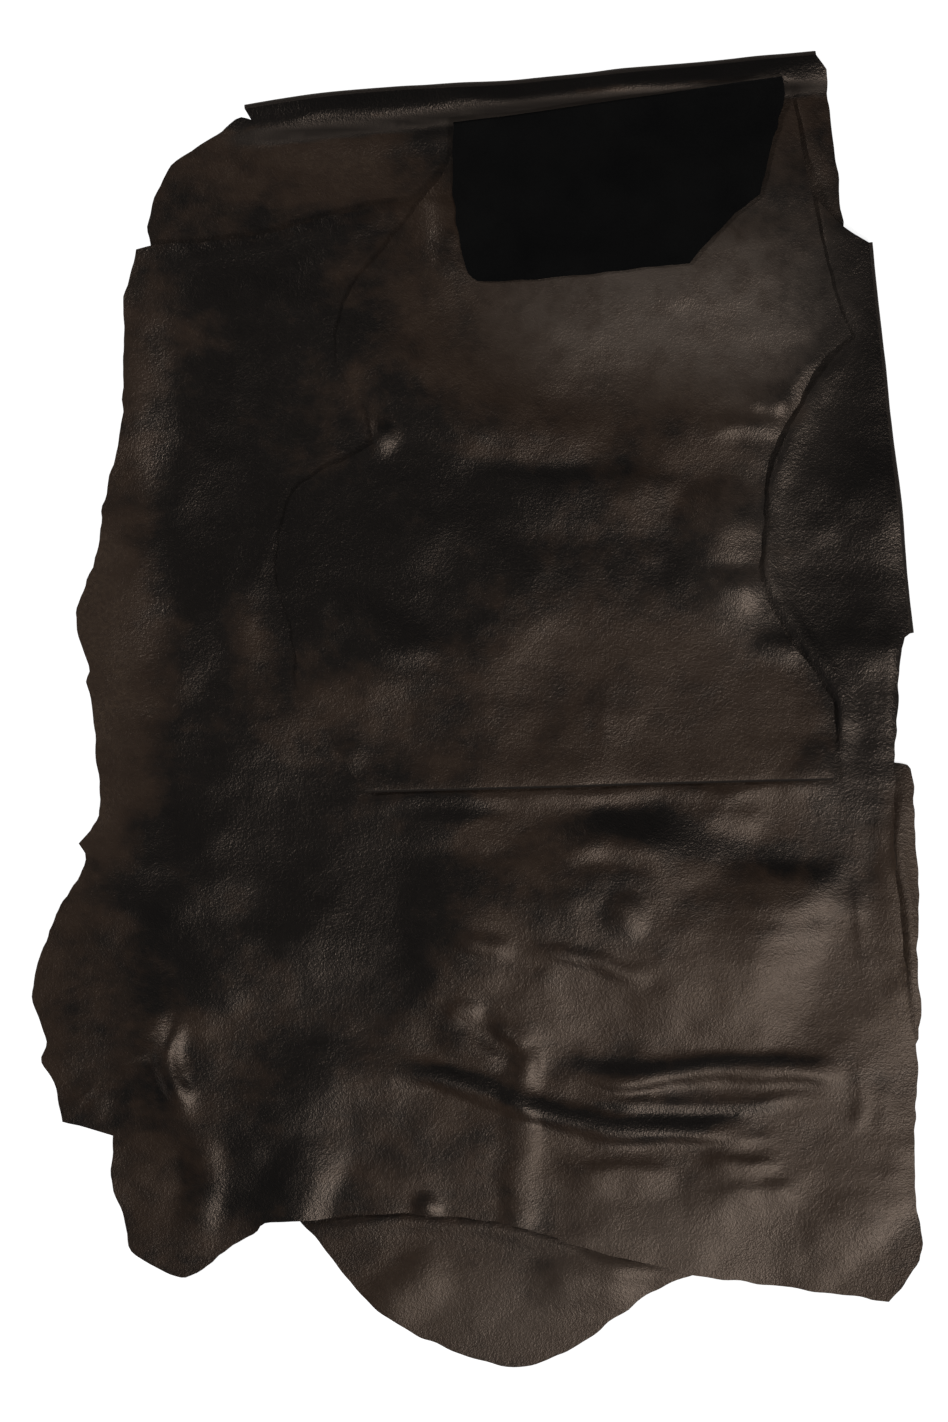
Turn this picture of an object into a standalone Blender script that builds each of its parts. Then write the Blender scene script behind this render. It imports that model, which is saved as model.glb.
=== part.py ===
"""A soft black leather hide, folded up and laid flat.

Units are metres with +Z up.  X runs across the pile and Y along it, towards the neck.
The origin is at the middle of the bounding box, on the surface that the pile lies on.

The hide is one sheet that goes back and forth in seven layers, lowest first: a narrow
strip turned under at the top, the base, the under turn, the cover, the neck turn, the
neck and the flap.  Each layer has its own outline and lies on the ones below it, and
round folds join each layer to the next.  Solidify gives the sheet its thickness.
"""
import math

import bmesh
import bpy
import numpy as np
from mathutils import Vector
from mathutils.geometry import delaunay_2d_cdt

# Driving dimensions
CM = 0.01
MM = 0.001
THICKNESS = 1.4 * MM        # the leather itself
LAYER_PITCH = 2.4 * MM      # from one layer's middle to the next, where they lie together
OUTLINE_STEP = 3.4 * CM     # spacing of the points along an outline
LATTICE_STEP = 4.1 * CM     # spacing of the points inside it
CLEAR_OF_OUTLINE = 0.45     # no inner point nearer than this share of the lattice step
GUIDE_SPACING = 1.1 * CM    # no two guide points nearer than this
ROUND_STEPS = 6             # facets round a fold
FOLD_ROWS = (-0.5, 0.35, 0.8)   # rows of points beside a fold, as shares of its reach
LEDGE = 0.6 * CM            # how far a layer goes on level past an edge below it

CORNER, SMOOTH = "corner", "smooth"

# Fold lines, end to end, in centimetres from the middle of the pile
TOP_FOLD = ((-17.4, 45.8), (24.9, 49.9))
LEFT_FOLD = ((-22.4, -28.6), (-21.7, 31.3))
RIGHT_FOLD = ((29.0, 36.2), (32.6, 7.0))
COVER_FOLD = ((-0.7, 39.4), (20.9, 39.5))
NECK_FOLD = ((26.9, -3.9), (-8.7, -4.9))
FLAP_FOLD = ((-1.9, 44.6), (22.4, 48.0))

# Outlines, clockwise.  Each row is x in cm, y in cm, and how the edge passes there.
STRIP_ROWS = [
    (*TOP_FOLD[0], CORNER),
    (*TOP_FOLD[1], CORNER),
    (25.0, 48.6, CORNER),
    (-16.6, 44.5, CORNER),
]
BASE_ROWS = [
    (*LEFT_FOLD[0], CORNER),
    (*LEFT_FOLD[1], CORNER),
    (-24.2, 34.4, SMOOTH),
    (-24.7, 38.0, SMOOTH),
    (-23.1, 41.6, SMOOTH),
    (-18.0, 45.1, SMOOTH),
    (-16.8, 45.0, CORNER),
    (*TOP_FOLD[0], CORNER),
    (*TOP_FOLD[1], CORNER),
    (25.7, 48.9, CORNER),
    (26.4, 43.0, SMOOTH),
    (27.8, 32.0, SMOOTH),
    (29.5, 17.0, SMOOTH),
    (30.5, 2.0, SMOOTH),
    (31.4, -2.9, CORNER),
    (33.1, -3.8, SMOOTH),
    (33.8, -13.6, SMOOTH),
    (34.0, -23.8, SMOOTH),
    (32.2, -29.4, SMOOTH),
    (29.7, -37.3, SMOOTH),
    (21.9, -41.4, SMOOTH),
    (14.0, -44.3, SMOOTH),
    (8.3, -48.8, SMOOTH),
    (4.0, -50.7, SMOOTH),
    (-4.6, -48.2, SMOOTH),
    (-10.1, -43.8, SMOOTH),
    (-14.0, -38.8, SMOOTH),
    (-20.0, -33.2, SMOOTH),
]
UNDER_TURN_ROWS = [
    (*LEFT_FOLD[0], CORNER),
    (*LEFT_FOLD[1], CORNER),
    (-13.4, 34.2, SMOOTH),
    (1.5, 36.2, SMOOTH),
    (16.5, 36.0, SMOOTH),
    (*RIGHT_FOLD[0], CORNER),
    (*RIGHT_FOLD[1], CORNER),
    (30.4, 4.2, SMOOTH),
    (29.6, -3.0, SMOOTH),
    (30.3, -14.0, SMOOTH),
    (31.0, -25.4, SMOOTH),
    (29.5, -35.7, SMOOTH),
    (17.2, -39.0, SMOOTH),
    (-2.3, -36.0, SMOOTH),
    (-14.0, -33.0, SMOOTH),
]
COVER_TOP_ROWS = [
    (-25.6, 35.7, CORNER),
    (-20.9, 36.2, SMOOTH),
    (-16.0, 36.8, SMOOTH),
    (-10.4, 38.3, SMOOTH),
    (-5.0, 39.3, SMOOTH),
    (*COVER_FOLD[0], CORNER),
    (*COVER_FOLD[1], CORNER),
    (24.5, 39.6, SMOOTH),
    (27.0, 37.5, SMOOTH),
]
COVER_RIGHT_ROWS = [
    (*RIGHT_FOLD[0], CORNER),
    (*RIGHT_FOLD[1], CORNER),
    (32.1, 6.5, CORNER),
    (31.7, 0.3, SMOOTH),
    (31.7, -9.7, SMOOTH),
    (32.9, -19.9, SMOOTH),
    (33.9, -26.0, SMOOTH),
    (33.7, -32.0, SMOOTH),
    (34.4, -40.4, SMOOTH),
    (31.9, -45.2, CORNER),
]
COVER_BOTTOM_ROWS = [
    (23.5, -44.1, SMOOTH),
    (9.4, -41.2, SMOOTH),
    (1.6, -38.9, SMOOTH),
    (-6.2, -38.2, SMOOTH),
    (-14.0, -38.8, SMOOTH),
    (-17.2, -39.4, SMOOTH),
    (-19.4, -41.1, SMOOTH),
    (-22.9, -43.4, SMOOTH),
    (-27.1, -41.2, SMOOTH),
    (-28.4, -36.7, SMOOTH),
    (-28.4, -32.1, CORNER),
]
COVER_LEFT_ROWS = [
    (-32.3, -31.0, CORNER),
    (-33.5, -26.0, SMOOTH),
    (-34.4, -20.9, SMOOTH),
    (-33.0, -15.9, SMOOTH),
    (-30.3, -10.4, SMOOTH),
    (-29.0, -5.9, SMOOTH),
    (-29.3, 1.0, SMOOTH),
    (-30.5, 7.6, SMOOTH),
    (-28.9, 13.3, SMOOTH),
    (-27.1, 21.6, SMOOTH),
    (-26.5, 30.0, SMOOTH),
]
COVER_ROWS = COVER_TOP_ROWS + COVER_RIGHT_ROWS + COVER_BOTTOM_ROWS + COVER_LEFT_ROWS
NECK_TURN_ROWS = [
    (*COVER_FOLD[0], CORNER),
    (*COVER_FOLD[1], CORNER),
    (21.8, 34.0, SMOOTH),
    (22.6, 28.8, SMOOTH),
    (19.6, 22.5, SMOOTH),
    (18.2, 13.0, SMOOTH),
    (21.2, 4.5, SMOOTH),
    (24.6, -0.5, SMOOTH),
    (*NECK_FOLD[0], CORNER),
    (*NECK_FOLD[1], CORNER),
    (-10.6, -0.4, SMOOTH),
    (-11.9, 9.5, SMOOTH),
    (-10.4, 15.5, SMOOTH),
    (-5.3, 21.5, SMOOTH),
    (-7.6, 28.4, SMOOTH),
]
NECK_ROWS = [
    (*FLAP_FOLD[0], CORNER),
    (*FLAP_FOLD[1], CORNER),
    (24.1, 42.3, SMOOTH),
    (25.6, 35.7, SMOOTH),
    (27.7, 29.3, CORNER),
    (25.0, 26.8, SMOOTH),
    (22.5, 22.0, SMOOTH),
    (21.4, 17.0, SMOOTH),
    (21.2, 11.8, SMOOTH),
    (23.2, 6.8, SMOOTH),
    (26.4, 2.2, SMOOTH),
    (*NECK_FOLD[0], CORNER),
    (*NECK_FOLD[1], CORNER),
    (-11.0, -1.6, SMOOTH),
    (-13.7, 2.6, SMOOTH),
    (-15.3, 11.8, SMOOTH),
    (-14.1, 17.4, SMOOTH),
    (-7.9, 21.3, CORNER),
    (-10.7, 28.4, SMOOTH),
    (-7.4, 35.3, SMOOTH),
    (-3.2, 40.4, SMOOTH),
]
FLAP_ROWS = [
    (*FLAP_FOLD[0], CORNER),
    (*FLAP_FOLD[1], CORNER),
    (22.4, 45.6, SMOOTH),
    (20.8, 39.7, CORNER),
    (18.7, 38.0, SMOOTH),
    (15.6, 34.6, CORNER),
    (6.0, 33.6, SMOOTH),
    (-0.3, 33.4, SMOOTH),
    (-1.5, 36.0, SMOOTH),
]

# Layers, lowest first: name, outline, and how far past its edge the leather over it
# takes to come down.
LAYERS = [
    ("strip", STRIP_ROWS, 1.4 * CM),
    ("base", BASE_ROWS, 5.5 * CM),
    ("under turn", UNDER_TURN_ROWS, 5.5 * CM),
    ("cover", COVER_ROWS, 5.5 * CM),
    ("neck turn", NECK_TURN_ROWS, 5.5 * CM),
    ("neck", NECK_ROWS, 5.5 * CM),
    ("flap", FLAP_ROWS, 5.5 * CM),
]

# Folds, each from its layer to the next one up: layer, fold line, extra height at the
# fold, and how far in from the fold the layers take to come together.
FOLDS = [
    (0, TOP_FOLD, 6.0 * MM, 2.6 * CM),
    (1, LEFT_FOLD, 1.4 * MM, 4.5 * CM),
    (2, RIGHT_FOLD, 1.4 * MM, 4.5 * CM),
    (3, COVER_FOLD, 1.2 * MM, 4.5 * CM),
    (4, NECK_FOLD, 1.2 * MM, 4.5 * CM),
    (5, FLAP_FOLD, 2.0 * MM, 4.0 * CM),
]

# Soft ridges that lift a layer and all above it: layer, start and end of the crest in
# cm, half the ridge's width, and its height.
RIDGES = [
    (3, (6.0, -25.2), (28.0, -25.4), 2.6 * CM, 4.0 * MM),
    (3, (9.0, -30.6), (26.0, -32.2), 3.0 * CM, 3.5 * MM),
    (3, (-2.8, -19.0), (4.6, -24.6), 2.4 * CM, 3.0 * MM),
    (3, (4.6, -24.6), (4.6, -37.5), 2.6 * CM, 3.5 * MM),
    (3, (6.0, -11.5), (14.5, -11.5), 3.4 * CM, 4.0 * MM),
    (3, (-21.0, -22.5), (-19.0, -34.5), 2.6 * CM, 3.5 * MM),
    (3, (-10.0, -32.0), (-10.5, -37.5), 2.8 * CM, 3.0 * MM),
    (3, (-18.0, 4.0), (-15.5, 22.0), 3.4 * CM, 3.0 * MM),
    (5, *FLAP_FOLD, 3.6 * CM, 2.4 * MM),
    (5, (-1.0, 21.6), (12.0, 21.4), 2.8 * CM, 2.5 * MM),
    (5, (17.0, 22.6), (23.0, 24.6), 2.6 * CM, 3.0 * MM),
    (5, (17.0, 11.2), (21.0, 10.6), 2.4 * CM, 3.0 * MM),
]


def clear_scene():
    """Remove every object that the file opened with."""
    for item in list(bpy.data.objects):
        bpy.data.objects.remove(item, do_unlink=True)


def along(points, spacing):
    """Evenly spaced points on the smooth curve through points, both ends included."""
    first = 2 * points[0] - points[1]
    last = 2 * points[-1] - points[-2]
    knots = np.vstack([first, points, last])
    step = np.linspace(0.0, 1.0, 12, endpoint=False)[:, None]
    pieces = []
    for a, b, c, d in zip(knots, knots[1:], knots[2:], knots[3:]):
        square = (2 * a - 5 * b + 4 * c - d) * step ** 2
        cube = (3 * b - a - 3 * c + d) * step ** 3
        pieces.append((2 * b + (c - a) * step + square + cube) / 2)
    curve = np.vstack(pieces + [points[-1:]])
    run = np.concatenate([[0.0], np.cumsum(np.linalg.norm(np.diff(curve, axis=0), axis=1))])
    places = np.linspace(0.0, run[-1], max(1, round(run[-1] / spacing)) + 1)
    return np.column_stack([np.interp(places, run, curve[:, axis]) for axis in (0, 1)])


def outline(rows):
    """The closed outline through rows: smooth between one corner and the next."""
    points = np.array([row[:2] for row in rows]) * CM
    corners = [number for number, row in enumerate(rows) if row[2] == CORNER]
    loop = []
    for start, end in zip(corners, corners[1:] + [corners[0] + len(rows)]):
        stretch = [points[number % len(rows)] for number in range(start, end + 1)]
        loop.append(along(np.array(stretch), OUTLINE_STEP)[:-1])
    return np.vstack(loop)


def distance_to_line(places, start, end):
    """Distance from each place to the straight line from start to end."""
    line = end - start
    share = np.clip((places - start) @ line / (line @ line), 0.0, 1.0)
    return np.linalg.norm(places - start - share[:, None] * line, axis=1)


def depth_inside(places, loop):
    """How far each place is inside the closed loop; below zero outside it."""
    nearest = np.full(len(places), np.inf)
    inside = np.zeros(len(places), dtype=bool)
    x, y = places[:, 0], places[:, 1]
    for start, end in zip(loop, np.roll(loop, -1, axis=0)):
        nearest = np.minimum(nearest, distance_to_line(places, start, end))
        if start[1] != end[1]:
            crossing = start[0] + (y - start[1]) / (end[1] - start[1]) * (end[0] - start[0])
            inside ^= ((start[1] > y) != (end[1] > y)) & (x < crossing)
    return np.where(inside, nearest, -nearest)


def ease(value):
    """Smooth rise from 0 to 1."""
    value = np.clip(value, 0.0, 1.0)
    return value * value * (3 - 2 * value)


def swell(distance, reach):
    """Smooth bump: 1 at no distance, 0 from reach outwards."""
    return np.clip(1 - (distance / reach) ** 2, 0.0, 1.0) ** 2


def layer_height(number, places, loops):
    """Height of a layer's middle surface over each place."""
    height = np.full(len(places), THICKNESS / 2)
    for lower in range(number):
        reach = LAYERS[lower][2]
        past_edge = -depth_inside(places, loops[lower])
        covered = 1 - ease((past_edge - LEDGE) / (reach - LEDGE))
        height += LAYER_PITCH * covered
    for lower, line, lift, reach in FOLDS:
        if lower < number:
            start, end = np.array(line) * CM
            height += lift * swell(distance_to_line(places, start, end), reach)
    for layer, start, end, half_width, rise in RIDGES:
        if layer <= number:
            crest = distance_to_line(places, np.array(start) * CM, np.array(end) * CM)
            height += rise * swell(crest, half_width)
    return height


def add_spaced(kept, points, spacing):
    """Add those of the points that are at least spacing from every point kept so far."""
    for point in points:
        if not kept or np.linalg.norm(np.array(kept) - point, axis=1).min() > spacing:
            kept.append(point)


def guide_points(loops):
    """Points that every layer shares: fold rows, ridge crests, outlines, then a lattice."""
    kept = []
    for _, line, _, reach in FOLDS:
        start, end = np.array(line) * CM
        inward = np.array([start[1] - end[1], end[0] - start[0]])
        inward /= np.linalg.norm(inward)
        for side in FOLD_ROWS:
            row = np.array([start, end]) + inward * reach * side
            add_spaced(kept, along(row, OUTLINE_STEP), GUIDE_SPACING)
    for _, start, end, _, _ in RIDGES:
        add_spaced(kept, along(np.array([start, end]) * CM, OUTLINE_STEP), GUIDE_SPACING)
    add_spaced(kept, np.vstack(loops), GUIDE_SPACING)
    low = np.vstack(loops).min(axis=0)
    high = np.vstack(loops).max(axis=0)
    row_step = LATTICE_STEP * math.sqrt(3) / 2
    for row, y in enumerate(np.arange(low[1], high[1], row_step)):
        x = np.arange(low[0] + LATTICE_STEP * (row % 2) / 2, high[0], LATTICE_STEP)
        points = np.column_stack([x, np.full(len(x), y)])
        add_spaced(kept, points, LATTICE_STEP * CLEAR_OF_OUTLINE)
    return np.array(kept)


def add_layer(mesh, number, loops, guides):
    """Fill one layer's outline with triangles, at the layer's heights."""
    loop = loops[number]
    inner = guides[depth_inside(guides, loop) > GUIDE_SPACING * 0.8]
    places = np.vstack([loop, inner])
    flat = [Vector(place) for place in places]
    outer_face = [list(range(len(loop)))]
    corners, _, faces, _, _, _ = delaunay_2d_cdt(flat, [], outer_face, 1, 1e-7)
    spots = np.array([tuple(corner) for corner in corners])
    heights = layer_height(number, spots, loops)
    verts = [mesh.verts.new((x, y, z)) for (x, y), z in zip(spots, heights)]
    for face in faces:
        mesh.faces.new([verts[corner] for corner in face])
    return verts


def fold_verts(verts, line):
    """The verts of a layer that lie on its fold line, in order along it."""
    start, end = np.array(line) * CM
    spots = np.array([vert.co.xy[:] for vert in verts])
    near = np.flatnonzero(distance_to_line(spots, start, end) < 1e-6)
    order = near[np.argsort((spots[near] - start) @ (end - start))]
    return [verts[number] for number in order]


def add_fold(mesh, lower, upper, outward):
    """Carry the lower fold edge round to the upper one in a half circle."""
    middles = [(a.co + b.co) / 2 for a, b in zip(lower, upper)]
    radii = [(b.co.z - a.co.z) / 2 for a, b in zip(lower, upper)]
    edge = lower
    for step in range(1, ROUND_STEPS + 1):
        turn = math.pi * step / ROUND_STEPS
        if step == ROUND_STEPS:
            ring = upper
        else:
            ring = []
            for middle, radius in zip(middles, radii):
                sideways = outward * radius * math.sin(turn)
                upwards = Vector((0, 0, -radius * math.cos(turn)))
                ring.append(mesh.verts.new(middle + sideways + upwards))
        for a, b, c, d in zip(edge, edge[1:], ring[1:], ring):
            mesh.faces.new((a, b, c, d))
        edge = ring


def folded_sheet():
    """The whole hide as one open surface, without its thickness."""
    loops = [outline(rows) for _, rows, _ in LAYERS]
    guides = guide_points(loops)
    mesh = bmesh.new()
    layers = [add_layer(mesh, number, loops, guides) for number in range(len(LAYERS))]
    for lower, line, _, _ in FOLDS:
        start, end = np.array(line)
        across = np.array([start[1] - end[1], end[0] - start[0]])
        outward = Vector((*(across / np.linalg.norm(across)), 0))
        spots = np.array([vert.co.xy[:] for vert in layers[lower]])
        inner_side = (spots.mean(axis=0) - start * CM) @ across
        if inner_side > 0:
            outward = -outward
        add_fold(mesh, fold_verts(layers[lower], line), fold_verts(layers[lower + 1], line), outward)
    bmesh.ops.recalc_face_normals(mesh, faces=mesh.faces)
    return mesh


def leather():
    """Near-black leather."""
    material = bpy.data.materials.new("black_leather")
    material.use_nodes = True
    shader = material.node_tree.nodes["Principled BSDF"]
    shader.inputs["Base Color"].default_value = (0.022, 0.018, 0.015, 1)
    shader.inputs["Roughness"].default_value = 0.5
    shader.inputs["Metallic"].default_value = 0.0
    return material


def centre_on_origin(hide):
    """Move the mesh so that the solid's box is centred on the Z axis and stands on z = 0."""
    bpy.context.view_layer.update()
    solid = hide.evaluated_get(bpy.context.evaluated_depsgraph_get()).to_mesh()
    places = np.array([vert.co[:] for vert in solid.vertices])
    low, high = places.min(axis=0), places.max(axis=0)
    shift = Vector((-(low[0] + high[0]) / 2, -(low[1] + high[1]) / 2, -low[2]))
    for vert in hide.data.vertices:
        vert.co += shift


def make_hide(collection):
    """The folded hide: the open surface, thickened evenly on both sides."""
    mesh = folded_sheet()
    data = bpy.data.meshes.new("hide")
    mesh.to_mesh(data)
    mesh.free()
    data.materials.append(leather())
    data.shade_smooth()
    hide = bpy.data.objects.new("hide", data)
    collection.objects.link(hide)
    skin = hide.modifiers.new("thickness", "SOLIDIFY")
    skin.thickness = THICKNESS
    skin.offset = 0.0
    centre_on_origin(hide)
    return hide


clear_scene()
pile = bpy.data.collections.new("leather_hide")
bpy.context.scene.collection.children.link(pile)
make_hide(pile)
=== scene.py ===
"""A soft black-brown leather hide, folded up and laid flat on a pale floor.

The hide is one sheet that goes back and forth in seven layers, lowest first: a strip
turned under at the top, the base, the under turn, the cover, the neck turn, the neck
and the flap.  Each layer is its outline filled with triangles, laid on the layers below,
lifted by creases, and joined to the next layer by a round fold.

Tables are in centimetres from the middle of the pile and in millimetres of height.
"""

import math

import bmesh
import bpy
import numpy as np
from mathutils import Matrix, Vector
from mathutils.geometry import delaunay_2d_cdt


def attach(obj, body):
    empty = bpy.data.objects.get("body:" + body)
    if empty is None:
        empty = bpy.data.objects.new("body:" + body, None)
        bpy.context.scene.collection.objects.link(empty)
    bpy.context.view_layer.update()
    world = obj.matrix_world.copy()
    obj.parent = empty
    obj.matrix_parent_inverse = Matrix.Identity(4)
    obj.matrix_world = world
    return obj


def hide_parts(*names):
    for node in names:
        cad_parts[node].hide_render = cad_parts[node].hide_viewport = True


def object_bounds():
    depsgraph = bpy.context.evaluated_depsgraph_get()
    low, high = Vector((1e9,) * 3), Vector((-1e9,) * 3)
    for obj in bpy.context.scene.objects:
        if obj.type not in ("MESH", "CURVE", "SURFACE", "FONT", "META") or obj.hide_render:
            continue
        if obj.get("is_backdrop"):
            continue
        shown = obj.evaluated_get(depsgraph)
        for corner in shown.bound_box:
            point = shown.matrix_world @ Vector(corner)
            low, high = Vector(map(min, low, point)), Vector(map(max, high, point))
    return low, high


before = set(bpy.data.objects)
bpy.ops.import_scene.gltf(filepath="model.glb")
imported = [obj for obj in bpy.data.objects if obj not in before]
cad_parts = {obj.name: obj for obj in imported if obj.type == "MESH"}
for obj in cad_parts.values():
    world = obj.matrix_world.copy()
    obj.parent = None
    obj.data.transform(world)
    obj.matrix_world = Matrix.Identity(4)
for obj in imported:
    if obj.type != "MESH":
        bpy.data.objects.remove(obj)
cad_low, cad_high = (np.array(corner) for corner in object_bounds())

CM = 0.01
MM = 0.001
THICKNESS = 1.4 * MM        # of the leather
LAYER_PITCH = 2.4 * MM      # from one layer's middle to the next, where they lie together
LEDGE = 0.5 * CM            # how far a layer goes on level past an edge below it
ROUND_STEPS = 10            # facets round a fold
CURVE_STEPS = 12            # points worked out between two knots of a curve
EDGE_STEP = 4.5 * MM        # spacing of the points along an outline
CREASE_STEP = 6 * MM        # spacing of the points along a crease
FIELD_STEP = 5.0 * MM       # spacing of the grid that holds how deep inside an outline a place is
FIELD_EDGE_STEP = 9.0 * MM  # spacing of the outline's points for that grid
FIELD_MARGIN = 2 * CM       # how far that grid goes past the outlines
FINE, MEDIUM, COARSE = 3.5 * MM, 5.6 * MM, 13.0 * MM    # triangle sizes
EDGE_GAP = 0.6              # triangle sizes between an outline and the first points inside it
CREASED = 0.35 * MM         # a place that the creases lift by more than this gets fine triangles
HIDDEN_DEPTH = 2.5 * CM     # a place this far in under another layer gets coarse ones
ONLY_INSIDE = 1             # for delaunay_2d_cdt: keep the triangles inside the outline
SAME_PLACE = 1e-7           # points closer than this (m) are one point
ON_LINE = 1e-6              # a point this close to a fold line (m) is on it
SHARP_ANGLE = math.radians(55)

CORNER, SMOOTH = "corner", "smooth"

# Fold lines, end to end
TOP_FOLD = ((-17.4, 45.8), (24.9, 49.9))
LEFT_FOLD = ((-22.4, -28.6), (-21.7, 31.3))
RIGHT_FOLD = ((29.0, 36.2), (32.6, 7.0))
COVER_FOLD = ((-0.7, 39.4), (20.9, 39.5))
NECK_FOLD = ((26.9, -3.9), (-8.7, -4.9))
FLAP_FOLD = ((-1.9, 44.6), (22.4, 48.0))

# Outlines, clockwise.  Each row is x, y, and how the edge passes there.
STRIP_ROWS = [
    (*TOP_FOLD[0], CORNER),
    (*TOP_FOLD[1], CORNER),
    (25.0, 48.6, CORNER),
    (-16.6, 44.5, CORNER),
]
BASE_ROWS = [
    (*LEFT_FOLD[0], CORNER),
    (*LEFT_FOLD[1], CORNER),
    (-24.2, 34.4, SMOOTH),
    (-24.7, 38.0, SMOOTH),
    (-23.1, 41.6, SMOOTH),
    (-21.2, 43.1, SMOOTH),
    (-18.0, 45.1, SMOOTH),
    (-16.8, 45.0, CORNER),
    (*TOP_FOLD[0], CORNER),
    (*TOP_FOLD[1], CORNER),
    (25.7, 48.9, CORNER),
    (26.0, 46.0, SMOOTH),
    (26.6, 41.6, SMOOTH),
    (27.8, 32.0, SMOOTH),
    (29.5, 17.0, SMOOTH),
    (30.5, 2.0, SMOOTH),
    (31.4, -2.9, CORNER),
    (32.5, -3.1, SMOOTH),
    (33.1, -3.8, SMOOTH),
    (33.4, -8.2, SMOOTH),
    (33.8, -13.6, SMOOTH),
    (33.7, -18.3, SMOOTH),
    (34.0, -23.8, SMOOTH),
    (32.2, -29.4, SMOOTH),
    (29.7, -37.3, SMOOTH),
    (21.9, -41.4, SMOOTH),
    (16.6, -43.2, SMOOTH),
    (13.4, -44.7, SMOOTH),
    (10.8, -46.6, SMOOTH),
    (7.6, -49.0, SMOOTH),
    (3.8, -50.6, SMOOTH),
    (0.1, -50.2, SMOOTH),
    (-4.6, -48.2, SMOOTH),
    (-7.8, -46.2, SMOOTH),
    (-10.1, -43.8, SMOOTH),
    (-12.0, -41.2, SMOOTH),
    (-14.0, -38.8, SMOOTH),
    (-20.0, -33.2, SMOOTH),
]
UNDER_TURN_ROWS = [
    (*LEFT_FOLD[0], CORNER),
    (*LEFT_FOLD[1], CORNER),
    (-13.4, 34.2, SMOOTH),
    (1.5, 36.2, SMOOTH),
    (16.5, 36.0, SMOOTH),
    (*RIGHT_FOLD[0], CORNER),
    (*RIGHT_FOLD[1], CORNER),
    (30.4, 4.2, SMOOTH),
    (29.6, -3.0, SMOOTH),
    (30.3, -14.0, SMOOTH),
    (31.0, -25.4, SMOOTH),
    (29.5, -35.7, SMOOTH),
    (17.2, -39.0, SMOOTH),
    (-2.3, -36.0, SMOOTH),
    (-14.0, -33.0, SMOOTH),
]
COVER_TOP_ROWS = [
    (-25.6, 35.7, CORNER),
    (-24.2, 36.0, SMOOTH),
    (-20.9, 36.2, SMOOTH),
    (-16.0, 36.8, SMOOTH),
    (-10.4, 38.3, SMOOTH),
    (-5.0, 39.3, SMOOTH),
    (*COVER_FOLD[0], CORNER),
    (*COVER_FOLD[1], CORNER),
    (24.5, 39.7, SMOOTH),
    (25.7, 38.6, SMOOTH),
    (27.1, 37.3, SMOOTH),
]
COVER_RIGHT_ROWS = [
    (*RIGHT_FOLD[0], CORNER),
    (*RIGHT_FOLD[1], CORNER),
    (32.2, 6.7, CORNER),
    (31.9, 4.9, SMOOTH),
    (31.7, 0.3, SMOOTH),
    (31.6, -2.8, SMOOTH),
    (31.7, -9.7, SMOOTH),
    (32.1, -13.6, SMOOTH),
    (32.9, -19.9, SMOOTH),
    (33.4, -23.8, SMOOTH),
    (33.9, -26.0, SMOOTH),
    (33.7, -29.4, SMOOTH),
    (33.7, -33.3, SMOOTH),
    (33.9, -37.3, SMOOTH),
    (34.4, -40.2, SMOOTH),
    (34.2, -41.8, SMOOTH),
    (33.3, -43.4, SMOOTH),
    (31.9, -45.2, CORNER),
]
COVER_BOTTOM_ROWS = [
    (29.0, -44.8, SMOOTH),
    (23.5, -44.1, SMOOTH),
    (16.5, -43.0, SMOOTH),
    (9.4, -41.2, SMOOTH),
    (1.6, -38.9, SMOOTH),
    (-3.6, -38.4, SMOOTH),
    (-6.2, -38.2, SMOOTH),
    (-10.1, -38.4, SMOOTH),
    (-14.0, -38.8, SMOOTH),
    (-16.6, -39.0, SMOOTH),
    (-17.5, -39.9, SMOOTH),
    (-19.4, -41.0, SMOOTH),
    (-22.2, -43.2, SMOOTH),
    (-23.8, -43.3, SMOOTH),
    (-26.0, -42.2, SMOOTH),
    (-27.2, -41.0, SMOOTH),
    (-27.5, -38.9, SMOOTH),
    (-28.2, -37.2, SMOOTH),
    (-28.6, -35.6, SMOOTH),
    (-28.4, -32.1, CORNER),
]
COVER_LEFT_ROWS = [
    (-30.2, -31.6, SMOOTH),
    (-32.3, -31.0, CORNER),
    (-32.7, -28.6, SMOOTH),
    (-33.8, -26.2, SMOOTH),
    (-33.4, -24.6, SMOOTH),
    (-34.4, -21.5, SMOOTH),
    (-34.2, -19.1, SMOOTH),
    (-33.0, -15.9, SMOOTH),
    (-32.2, -14.0, SMOOTH),
    (-30.6, -11.6, SMOOTH),
    (-30.2, -10.3, SMOOTH),
    (-30.7, -9.2, CORNER),
    (-29.5, -7.8, SMOOTH),
    (-29.0, -5.9, SMOOTH),
    (-29.2, -2.0, SMOOTH),
    (-29.4, 0.8, SMOOTH),
    (-29.9, 3.0, SMOOTH),
    (-29.8, 4.5, SMOOTH),
    (-30.6, 7.6, SMOOTH),
    (-30.3, 9.5, SMOOTH),
    (-28.9, 13.3, SMOOTH),
    (-28.3, 17.0, SMOOTH),
    (-27.1, 21.6, SMOOTH),
    (-26.6, 28.3, SMOOTH),
    (-26.6, 32.0, SMOOTH),
    (-25.9, 34.2, SMOOTH),
]
COVER_ROWS = COVER_TOP_ROWS + COVER_RIGHT_ROWS + COVER_BOTTOM_ROWS + COVER_LEFT_ROWS
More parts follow.
